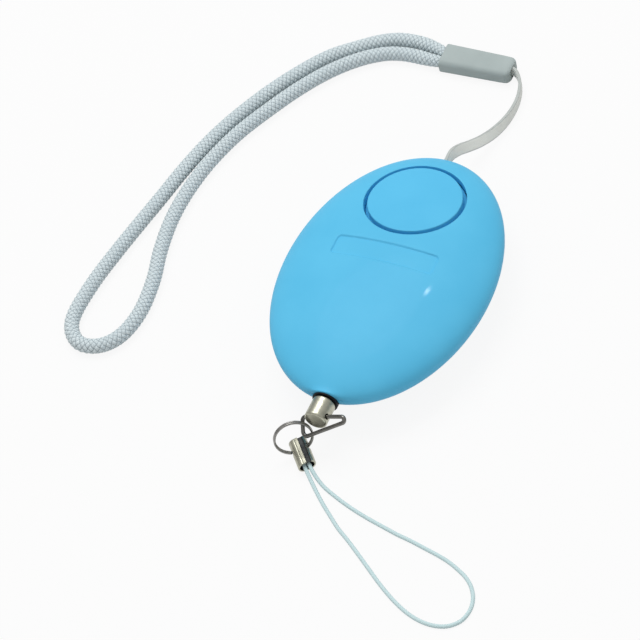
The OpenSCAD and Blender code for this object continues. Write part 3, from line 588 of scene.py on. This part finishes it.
# Thin phone cord: a soft pale aqua braid under a millimetre thick, laid in a loop on the table with
# both ends clamped in the cord end.
thin_route = [
    (-1.6, -39.7, 1.7), (0, -41.5, 1.6), (1.8, -43.1, 1), (4.2, -44.7, 0.5), (7.6, -46.3, 0.4),
    (11.1, -47.7, 0.4), (14.8, -48.9, 0.4), (18.5, -49.9, 0.4), (22, -50.8, 0.4), (25, -51.4, 0.4),
    (27.8, -52.1, 0.4), (30.6, -52.8, 0.4), (33.2, -53.6, 0.4), (35.6, -54.7, 0.4), (37.8, -56, 0.4),
    (39.6, -57.8, 0.4), (40.8, -60.1, 0.4), (41.1, -62.6, 0.4), (40.4, -65, 0.4), (38.6, -66.7, 0.4),
    (36.2, -67.4, 0.4), (33.6, -67.3, 0.4), (31, -66.6, 0.4), (28.4, -65.4, 0.4), (25.7, -63.8, 0.4),
    (22.8, -61.8, 0.4), (19.8, -59.5, 0.4), (16.8, -57.2, 0.4), (13.6, -54.8, 0.4), (10.6, -52.7, 0.4),
    (8, -50.5, 0.4), (5.6, -48.4, 0.4), (3.3, -46.2, 0.5), (1.1, -44, 0.9), (-0.7, -42.1, 1.4),
    (-2.2, -40.3, 1.5),
]
thin_sides, thin_strands, thin_lead, thin_r, thin_dip = 20, 5, 2.6, 0.4, 0.04


def smooth_route(points, step):
    """Evenly spaced places on a smooth curve through the points."""
    p = np.array(points, float)
    full = np.vstack([2 * p[0] - p[1], p, 2 * p[-1] - p[-2]])
    t = np.linspace(0.0, 1.0, 60, endpoint=False)[:, None]
    dense = []
    for i in range(len(p) - 1):
        a, b, c, d = full[i : i + 4]
        square = (2 * a - 5 * b + 4 * c - d) * t**2
        cube = (3 * b - a - 3 * c + d) * t**3
        dense.append(0.5 * (2 * b + (c - a) * t + square + cube))
    dense = np.vstack(dense + [p[-1:]])
    length = np.concatenate([[0.0], np.cumsum(np.linalg.norm(np.diff(dense[:, :3], axis=0), axis=1))])
    stops = np.linspace(0.0, length[-1], max(int(length[-1] / step), 8))
    return np.stack([np.interp(stops, length, dense[:, k]) for k in range(p.shape[1])], 1)


def sweep_uv(piece, rows_count, sides, run):
    """Lays a map on a tube: once round is 1 across, and the way along it is in metres."""
    layer = piece.data.uv_layers.new(name="sweep")
    values = []
    for i in range(rows_count - 1):
        for j in range(sides):
            low, high = j / sides, (j + 1) / sides
            values += [low, run[i], high, run[i], high, run[i + 1], low, run[i + 1]]
    values += [0.0, 0.0] * (len(layer.data) - len(values) // 2)
    layer.data.foreach_set("uv", values)


# Fibres of a braid from its sweep: strands cross over and under each other round the cord
braid, taken, given = new_group(
    "braid_fibre",
    [("Around", "NodeSocketFloat", 8.0), ("Along", "NodeSocketFloat", 1900.0)],
    [("Gap", "NodeSocketFloat"), ("Fibre", "NodeSocketFloat"), ("Fade", "NodeSocketFloat")],
)
sweep = add_node(braid, "ShaderNodeUVMap", {"uv_map": "sweep"}).outputs[0]
parts = add_node(braid, "ShaderNodeSeparateXYZ", None, Vector=sweep)
around = maths(braid, "MULTIPLY", parts.outputs["X"], taken.outputs["Around"])
along = maths(braid, "MULTIPLY", parts.outputs["Y"], taken.outputs["Along"])
first = maths(braid, "ADD", around, along)
second = maths(braid, "SUBTRACT", around, along)
crossings = maths(braid, "ADD", maths(braid, "FLOOR", first), maths(braid, "FLOOR", second))
over = maths(braid, "FLOORED_MODULO", crossings, 2.0)
first_in = maths(braid, "FRACT", first)
second_in = maths(braid, "FRACT", second)
pick_float = {"data_type": "FLOAT"}
across = add_node(braid, "ShaderNodeMix", pick_float, in0=over, in2=first_in, in3=second_in).outputs[0]
length = add_node(braid, "ShaderNodeMix", pick_float, in0=over, in2=second, in3=first).outputs[0]
edge = maths(braid, "MINIMUM", across, maths(braid, "SUBTRACT", 1.0, across))
gap = spread(braid, edge, 0.02, 0.2, 1.0, 0.0)
fibre_place = add_node(braid, "ShaderNodeCombineXYZ", None, X=maths(braid, "MULTIPLY", across, 7.0))
braid.links.new(maths(braid, "MULTIPLY", length, 0.9), fibre_place.inputs["Y"])
fibre = add_node(braid, "ShaderNodeTexNoise", None, Vector=fibre_place.outputs[0], Scale=1.6, Detail=2.0)
where = add_node(braid, "ShaderNodeTexCoord").outputs["Object"]
fade = add_node(braid, "ShaderNodeTexNoise", None, Vector=where, Scale=120.0, Detail=3.0)
braid.links.new(gap, given.inputs["Gap"])
braid.links.new(fibre.outputs["Fac"], given.inputs["Fibre"])
braid.links.new(fade.outputs["Fac"], given.inputs["Fade"])


def cord_finish(name, light, dark, painted_gap_shade, strands, lead, depth):
    finish, tree, shader = new_finish(name)
    weave = add_node(tree, "ShaderNodeGroup", {"node_tree": braid}, Around=float(strands))
    weave.inputs["Along"].default_value = strands / (lead * MM)
    out = weave.outputs
    base = tint(tree, spread(tree, out["Fibre"], 0.3, 0.7, 0.0, 1.0), dark, light)
    # Painted shade: the sunken lines between the strands are darkened towards the third colour.
    base = tint(tree, maths(tree, "MULTIPLY", out["Gap"], 0.9), base, painted_gap_shade)
    base = tint(tree, spread(tree, out["Fade"], 0.4, 0.7, 0.0, 0.25), base, dark)
    tree.links.new(base, shader.inputs["Base Color"])
    matt = spread(tree, out["Fibre"], 0.3, 0.7, 0.62, 0.8)
    tree.links.new(matt, shader.inputs["Roughness"])
    raise_bump(tree, shader, out["Fibre"], 0.5, depth)
    shader.inputs["Sheen Weight"].default_value = 0.06
    shader.inputs["Sheen Roughness"].default_value = 0.4
    return finish


def braided_section(sides, strands, lead, crown, dip):
    """Rings of a braided tube, raised where a strand lies on top and sunk between the strands."""
    angle = np.linspace(0.0, 2.0 * np.pi, sides, endpoint=False)

    def section(run, i):
        u = angle / (2.0 * np.pi) * strands
        v = run / lead * strands
        first, second = u + v, u - v
        over = (np.floor(first) + np.floor(second)) % 2 < 0.5
        f, s = first % 1.0, second % 1.0
        wide = np.where(over, f, s)
        far = np.where(over, s, f)
        swell = np.sin(np.pi * wide) ** 0.6 * (0.6 + 0.4 * np.sin(np.pi * far))
        radius = (crown(run) if callable(crown) else crown) - dip * (1.0 - swell)
        return radius * np.cos(angle), radius * np.sin(angle)

    return section


thin_line = smooth_route(thin_route, 0.08)
thin_section = braided_section(thin_sides, thin_strands, thin_lead, thin_r, thin_dip)
points, run = route_tube(thin_line, thin_section)
# The third colour is painted shade for the lines between the strands.
thin_braid = cord_finish(
    "thin_aqua_braid", paint(212, 231, 232), paint(196, 221, 223), paint(168, 200, 205),
    thin_strands, thin_lead, 0.00003,
)
phone_cord = add_piece(
    "phone_cord_braid", points * MM, capped(len(thin_line), thin_sides), "cord",
    thin_braid, ["phone_cord"],
)
sweep_uv(phone_cord, len(thin_line), thin_sides, run * MM)

# Strap ribbon: a flat grey-white woven tape that leaves the far end of the case and twists over into
# the sleeve. The loop that holds it on a post inside isn't drawn.
ribbon_route = [
    (0, 28.2, 9, 90), (0, 31, 9, 90), (0.1, 33.4, 8.8, 100), (0.4, 36.2, 7.3, 112), (0.9, 39.2, 5.2, 122),
    (1.8, 42.6, 3.3, 124), (3, 46, 2.3, 116), (3.9, 49.6, 1.7, 104), (4.4, 53.2, 1.5, 94),
    (4.3, 56.8, 1.4, 90), (3.6, 60, 1.5, 90), (2.4, 62.4, 1.6, 90), (1, 63.8, 1.7, 90), (-0.6, 64, 1.7, 90),
]
tape_line = smooth_route(ribbon_route, 0.12)
tape_half_w, tape_half_t, edge_thin, edge_dip = 1.15, 0.35, 0.05, 0.12
tape_outline = []
for side in (1, -1):
    for step in np.linspace(-1.0, 1.0, 21):
        crown = tape_half_t - edge_thin * abs(step) ** 4
        tape_outline.append((side * step * tape_half_w * 0.97, side * crown))
    tape_outline.append((side * tape_half_w, side * tape_half_t * 0.5))
    tape_outline.append((side * (tape_half_w - edge_dip), 0.0))
    tape_outline.append((side * tape_half_w, -side * tape_half_t * 0.5))
tape_outline = np.array(tape_outline)
tape_sides = len(tape_outline)


def tape_section(run, i):
    turn = math.radians(tape_line[i, 3])
    x, y = tape_outline[:, 0], tape_outline[:, 1]
    return x * math.cos(turn) - y * math.sin(turn), x * math.sin(turn) + y * math.cos(turn)


points, run = route_tube(tape_line[:, :3], tape_section)

# Weave of the tape: ribs across, picks along, uneven threads and a darker line at each edge
tape, taken, given = new_group(
    "tape_weave",
    [("Ribs", "NodeSocketFloat", 26.0), ("Picks", "NodeSocketFloat", 5200.0)],
    [("Height", "NodeSocketFloat"), ("Thread", "NodeSocketFloat"), ("Edge", "NodeSocketFloat")],
)
full_turn = 6.2832
sweep = add_node(tape, "ShaderNodeUVMap", {"uv_map": "sweep"}).outputs[0]
parts = add_node(tape, "ShaderNodeSeparateXYZ", None, Vector=sweep)
rib = maths(tape, "MULTIPLY", maths(tape, "MULTIPLY", parts.outputs["X"], taken.outputs["Ribs"]), full_turn)
pick = maths(tape, "MULTIPLY", maths(tape, "MULTIPLY", parts.outputs["Y"], taken.outputs["Picks"]), full_turn)
crossing = maths(tape, "MULTIPLY", maths(tape, "SINE", rib), maths(tape, "SINE", pick))
weave_place = add_node(tape, "ShaderNodeCombineXYZ")
tape.links.new(maths(tape, "MULTIPLY", parts.outputs["X"], 80.0), weave_place.inputs["X"])
tape.links.new(maths(tape, "MULTIPLY", parts.outputs["Y"], 1500.0), weave_place.inputs["Y"])
thread = add_node(tape, "ShaderNodeTexNoise", None, Vector=weave_place.outputs[0], Scale=1.0, Detail=3.0)
face_across = maths(tape, "FRACT", maths(tape, "MULTIPLY", parts.outputs["X"], 2.0))
edge_off = maths(tape, "ABSOLUTE", maths(tape, "SUBTRACT", face_across, 0.417))
selvedge = spread(tape, edge_off, 0.33, 0.4, 0.0, 1.0)
tape.links.new(crossing, given.inputs["Height"])
tape.links.new(thread.outputs["Fac"], given.inputs["Thread"])
tape.links.new(selvedge, given.inputs["Edge"])
tape_cloth, tree, shader = new_finish("tape_satin")
out = add_node(tree, "ShaderNodeGroup", {"node_tree": tape}).outputs
thread_share = spread(tree, out["Thread"], 0.3, 0.7, 0.0, 1.0)
base = tint(tree, thread_share, paint(231, 235, 228), paint(246, 248, 242))
# Painted shade: the low parts of the weave are darkened towards grey.
base = tint(tree, spread(tree, out["Height"], -1.0, 1.0, 0.25, 0.0), base, paint(204, 208, 206))
base = tint(tree, maths(tree, "MULTIPLY", out["Edge"], 0.75), base, paint(170, 177, 175))
tree.links.new(base, shader.inputs["Base Color"])
tree.links.new(spread(tree, out["Thread"], 0.3, 0.7, 0.5, 0.66), shader.inputs["Roughness"])
raise_bump(tree, shader, out["Height"], 0.5, 0.00004)
shader.inputs["Sheen Weight"].default_value = 0.2
strap_ribbon = add_piece(
    "strap_ribbon_tape", points * MM, capped(len(tape_line), tape_sides), "case",
    tape_cloth, ["strap_ribbon"],
)
sweep_uv(strap_ribbon, len(tape_line), tape_sides, run * MM)

# Strap sleeve: a soft grey moulded sleeve, square where the braided loop goes in and rounded off
# at the ribbon. It is pressed over both and glued.
sleeve_l, sleeve_h, corner_r = 15.8, 3.4, 1.1
narrow_w, wide_w, nose_l, nose_d = 5.6, 6.2, 2.2, 0.7
sleeve_place = np.array([0.7, 64.0, sleeve_h / 2])


def soft_box(half_w, half_h, radius):
    """Outline of a rectangle with rounded corners and three points on each straight side."""
    radius = max(min(radius, half_w - 0.01, half_h - 0.01), 0.02)
    flat_w, flat_h = half_w - radius, half_h - radius
    outline = []
    for quarter in range(4):
        sx = 1 if quarter in (0, 3) else -1
        sy = 1 if quarter in (0, 1) else -1
        for turn in np.radians(np.linspace(0.0, 90.0, 11) + 90 * quarter):
            outline.append((sx * flat_w + radius * math.cos(turn), sy * flat_h + radius * math.sin(turn)))
        for share in (0.5, 0.0, -0.5):
            if quarter in (0, 2):
                outline.append((share * sx * flat_w, sy * half_h))
            else:
                outline.append((sx * half_w, share * sy * flat_h))
    return np.array(outline)


def sleeve_ring(x, inset):
    width = narrow_w + (wide_w - narrow_w) * x / sleeve_l
    rounding = nose_d * (1.0 - math.sqrt(1.0 - max(1.0 - x / nose_l, 0.0) ** 2))
    return x, soft_box(width / 2 - inset - rounding, sleeve_h / 2 - inset, corner_r - inset)


# From the tape's slot, round the nose, along the outside and into the mouth for the cord
tape_slot = soft_box(0.65, 1.3, 0.3)
sleeve_rings = [(1.9, tape_slot), (0.5, tape_slot), (0.3, soft_box(0.75, 1.38, 0.35))]
for inset in (0.5, 0.42, 0.33, 0.24, 0.16, 0.09, 0.04, 0.01):
    sleeve_rings.append(sleeve_ring(corner_r - math.sqrt(corner_r**2 - (corner_r - inset) ** 2), inset))
for x in np.linspace(1.4, sleeve_l - 0.4, 14):
    sleeve_rings.append(sleeve_ring(x, 0.0))
for from_mouth, inset in ((0.18, 0.0), (0.09, 0.03), (0.02, 0.1), (0.0, 0.2), (0.0, 0.26)):
    sleeve_rings.append(sleeve_ring(sleeve_l - from_mouth, inset))
for from_mouth, half_w, half_h in ((0.04, 2.7, 1.42), (0.2, 2.65, 1.4), (2.0, 2.65, 1.4)):
    sleeve_rings.append((sleeve_l - from_mouth, soft_box(half_w, half_h, 1.39)))
count = len(tape_slot)
sleeve_points = np.concatenate([np.column_stack([np.full(count, x), ring]) for x, ring in sleeve_rings])
sleeve_points = sleeve_points * (-1.0, -1.0, 1.0) + sleeve_place
sleeve_rubber = moulded_finish(
    "sleeve_rubber", paint(173, 184, 183), paint(162, 173, 172), 0.6, 2600.0, 0.00006
)
strap_sleeve = add_piece(
    "strap_sleeve_soft", sleeve_points * MM, capped(len(sleeve_rings), count), "case",
    sleeve_rubber, ["strap_sleeve"],
)

# Strap cord: the wrist loop, a round braid of light grey-blue yarn that leaves the sleeve, lies in
# a long loop on the table and goes back into the sleeve.
strap_route = [
    (-13.6, 65.28, 1.7), (-15.3, 65.3, 1.7), (-17.4, 66, 1.62), (-19.8, 66.6, 1.55), (-22.6, 66.9, 1.55),
    (-26.3, 66.6, 1.55), (-29.9, 65.2, 1.55), (-34.2, 62.3, 1.55), (-39.1, 58.3, 1.55), (-43.4, 52.6, 1.55),
    (-47.5, 45.7, 1.55), (-50.8, 38.6, 1.55), (-53.1, 32.6, 1.55), (-54.8, 26.6, 1.55), (-56.2, 20, 1.55),
    (-57.4, 12.5, 1.55), (-58.7, 5, 1.55), (-60, -3, 1.55), (-61.1, -11.5, 1.55), (-61.3, -20, 1.55),
    (-60, -24.4, 1.55), (-57.1, -27, 1.55), (-53.7, -27, 1.55), (-50.8, -25, 1.55), (-49, -21.3, 1.55),
    (-48.4, -15.5, 1.55), (-49.4, -8, 1.55), (-51.3, -0.8, 1.55), (-52.6, 7, 1.55), (-52.8, 14.3, 1.55),
    (-52.1, 21.6, 1.55), (-50.8, 27.7, 1.55), (-48.8, 33.9, 1.55), (-45.5, 41, 1.55), (-41.7, 48.1, 1.55),
    (-37.4, 54.3, 1.55), (-32.8, 58.9, 1.55), (-28.4, 61.7, 1.55), (-24.8, 62.8, 1.55), (-21.3, 63, 1.55),
    (-17.8, 62.75, 1.62), (-15.3, 62.72, 1.7), (-13.6, 62.72, 1.7),
]
strap_line = smooth_route(strap_route, 0.08)
strap_sides, strap_strands, strap_lead, strap_dip = 48, 6, 6.2, 0.26
strap_end = np.linalg.norm(np.diff(strap_line, axis=0), axis=1).sum()


def strap_crown(run):
    """The braid is squeezed thinner where it goes into the sleeve."""
    return np.interp(min(run, strap_end - run), (1.7, 3.9, 6.4), (1.25, 1.4, 1.55))


strap_section = braided_section(strap_sides, strap_strands, strap_lead, strap_crown, strap_dip)
points, run = route_tube(strap_line, strap_section)
# The third colour is painted shade for the lines between the strands.
strap_braid = cord_finish(
    "strap_grey_braid", paint(231, 241, 243), paint(187, 201, 206), paint(122, 135, 143),
    strap_strands, strap_lead, 0.00006,
)
strap_cord = add_piece(
    "strap_cord_braid", points * MM, capped(len(strap_line), strap_sides), "case",
    strap_braid, ["strap_cord"],
)
sweep_uv(strap_cord, len(strap_line), strap_sides, run * MM)

# Table, light and camera: a plain white table under an even light tent, seen from the photograph's
# place through a long lens.
floor_mesh = bpy.data.meshes.new("table")
floor_mesh.from_pydata([(-3, -3, 0), (3, -3, 0), (3, 3, 0), (-3, 3, 0)], [], [(0, 1, 2, 3)])
floor = bpy.data.objects.new("table", floor_mesh)
bpy.context.scene.collection.objects.link(floor)
white_share = 0.9
table_white, tree, shader = new_finish("table_white")
shader.inputs["Base Color"].default_value = (0.7, 0.7, 0.7, 1.0)
shader.inputs["Roughness"].default_value = 0.9
shader.inputs["Specular IOR Level"].default_value = 0.0
glow = add_node(tree, "ShaderNodeEmission")
glow.inputs["Strength"].default_value = 1.0
seen = add_node(tree, "ShaderNodeLightPath")
share = maths(tree, "MAXIMUM", seen.outputs["Is Camera Ray"], seen.outputs["Is Glossy Ray"])
share = maths(tree, "MAXIMUM", share, seen.outputs["Is Transmission Ray"])
share = maths(tree, "MULTIPLY", share, white_share)
blend = add_node(tree, "ShaderNodeMixShader", None, in0=share, in1=shader.outputs[0], in2=glow.outputs[0])
tree.links.new(blend.outputs[0], tree.nodes["Material Output"].inputs["Surface"])
floor_mesh.materials.append(table_white)

world = bpy.data.worlds.new("light_tent")
bpy.context.scene.world = world
world.use_nodes = True
tree = world.node_tree
sky = tree.nodes["Background"]
facing = add_node(tree, "ShaderNodeTexCoord").outputs["Generated"]
upward = add_node(tree, "ShaderNodeSeparateXYZ", None, Vector=facing)
tent = spread(tree, upward.outputs["Z"], 0.0, 0.9, 0.45, 0.95)
grey = add_node(tree, "ShaderNodeCombineColor", None, Red=tent, Green=tent, Blue=tent)
tree.links.new(grey.outputs[0], sky.inputs["Color"])
sky.inputs["Strength"].default_value = 0.8


def add_lamp(name, place, aim, size, watts):
    light = bpy.data.lights.new(name, "AREA")
    light.shape = "DISK"
    light.size = size
    light.energy = watts
    lamp = bpy.data.objects.new(name, light)
    lamp.location = place
    lamp.rotation_euler = (Vector(aim) - Vector(place)).to_track_quat("-Z", "Y").to_euler()
    bpy.context.scene.collection.objects.link(lamp)


add_lamp("key_softbox", (-0.3, 0.3, 1.0), (0, 0, 0), 0.7, 5.0)
add_lamp("rear_spot", (0.02, 0.5, 0.95), (0, 0, 0), 0.035, 0.7)

camera = bpy.data.objects.new("camera", bpy.data.cameras.new("camera"))
camera.data.lens = 173.52
camera.data.sensor_width = 36.0
camera.data.clip_end = 20.0
right = (0.90391, 0.39453, -0.16519)
up = (-0.21228, 0.74910, 0.62752)
back = (0.37133, -0.53216, 0.76087)
spot = (0.212680, -0.330709, 0.462476)
camera.matrix_world = Matrix([*zip(right, up, back, spot), (0.0, 0.0, 0.0, 1.0)])
bpy.context.scene.collection.objects.link(camera)
bpy.context.scene.camera = camera
bpy.context.scene.view_settings.view_transform = "Standard"
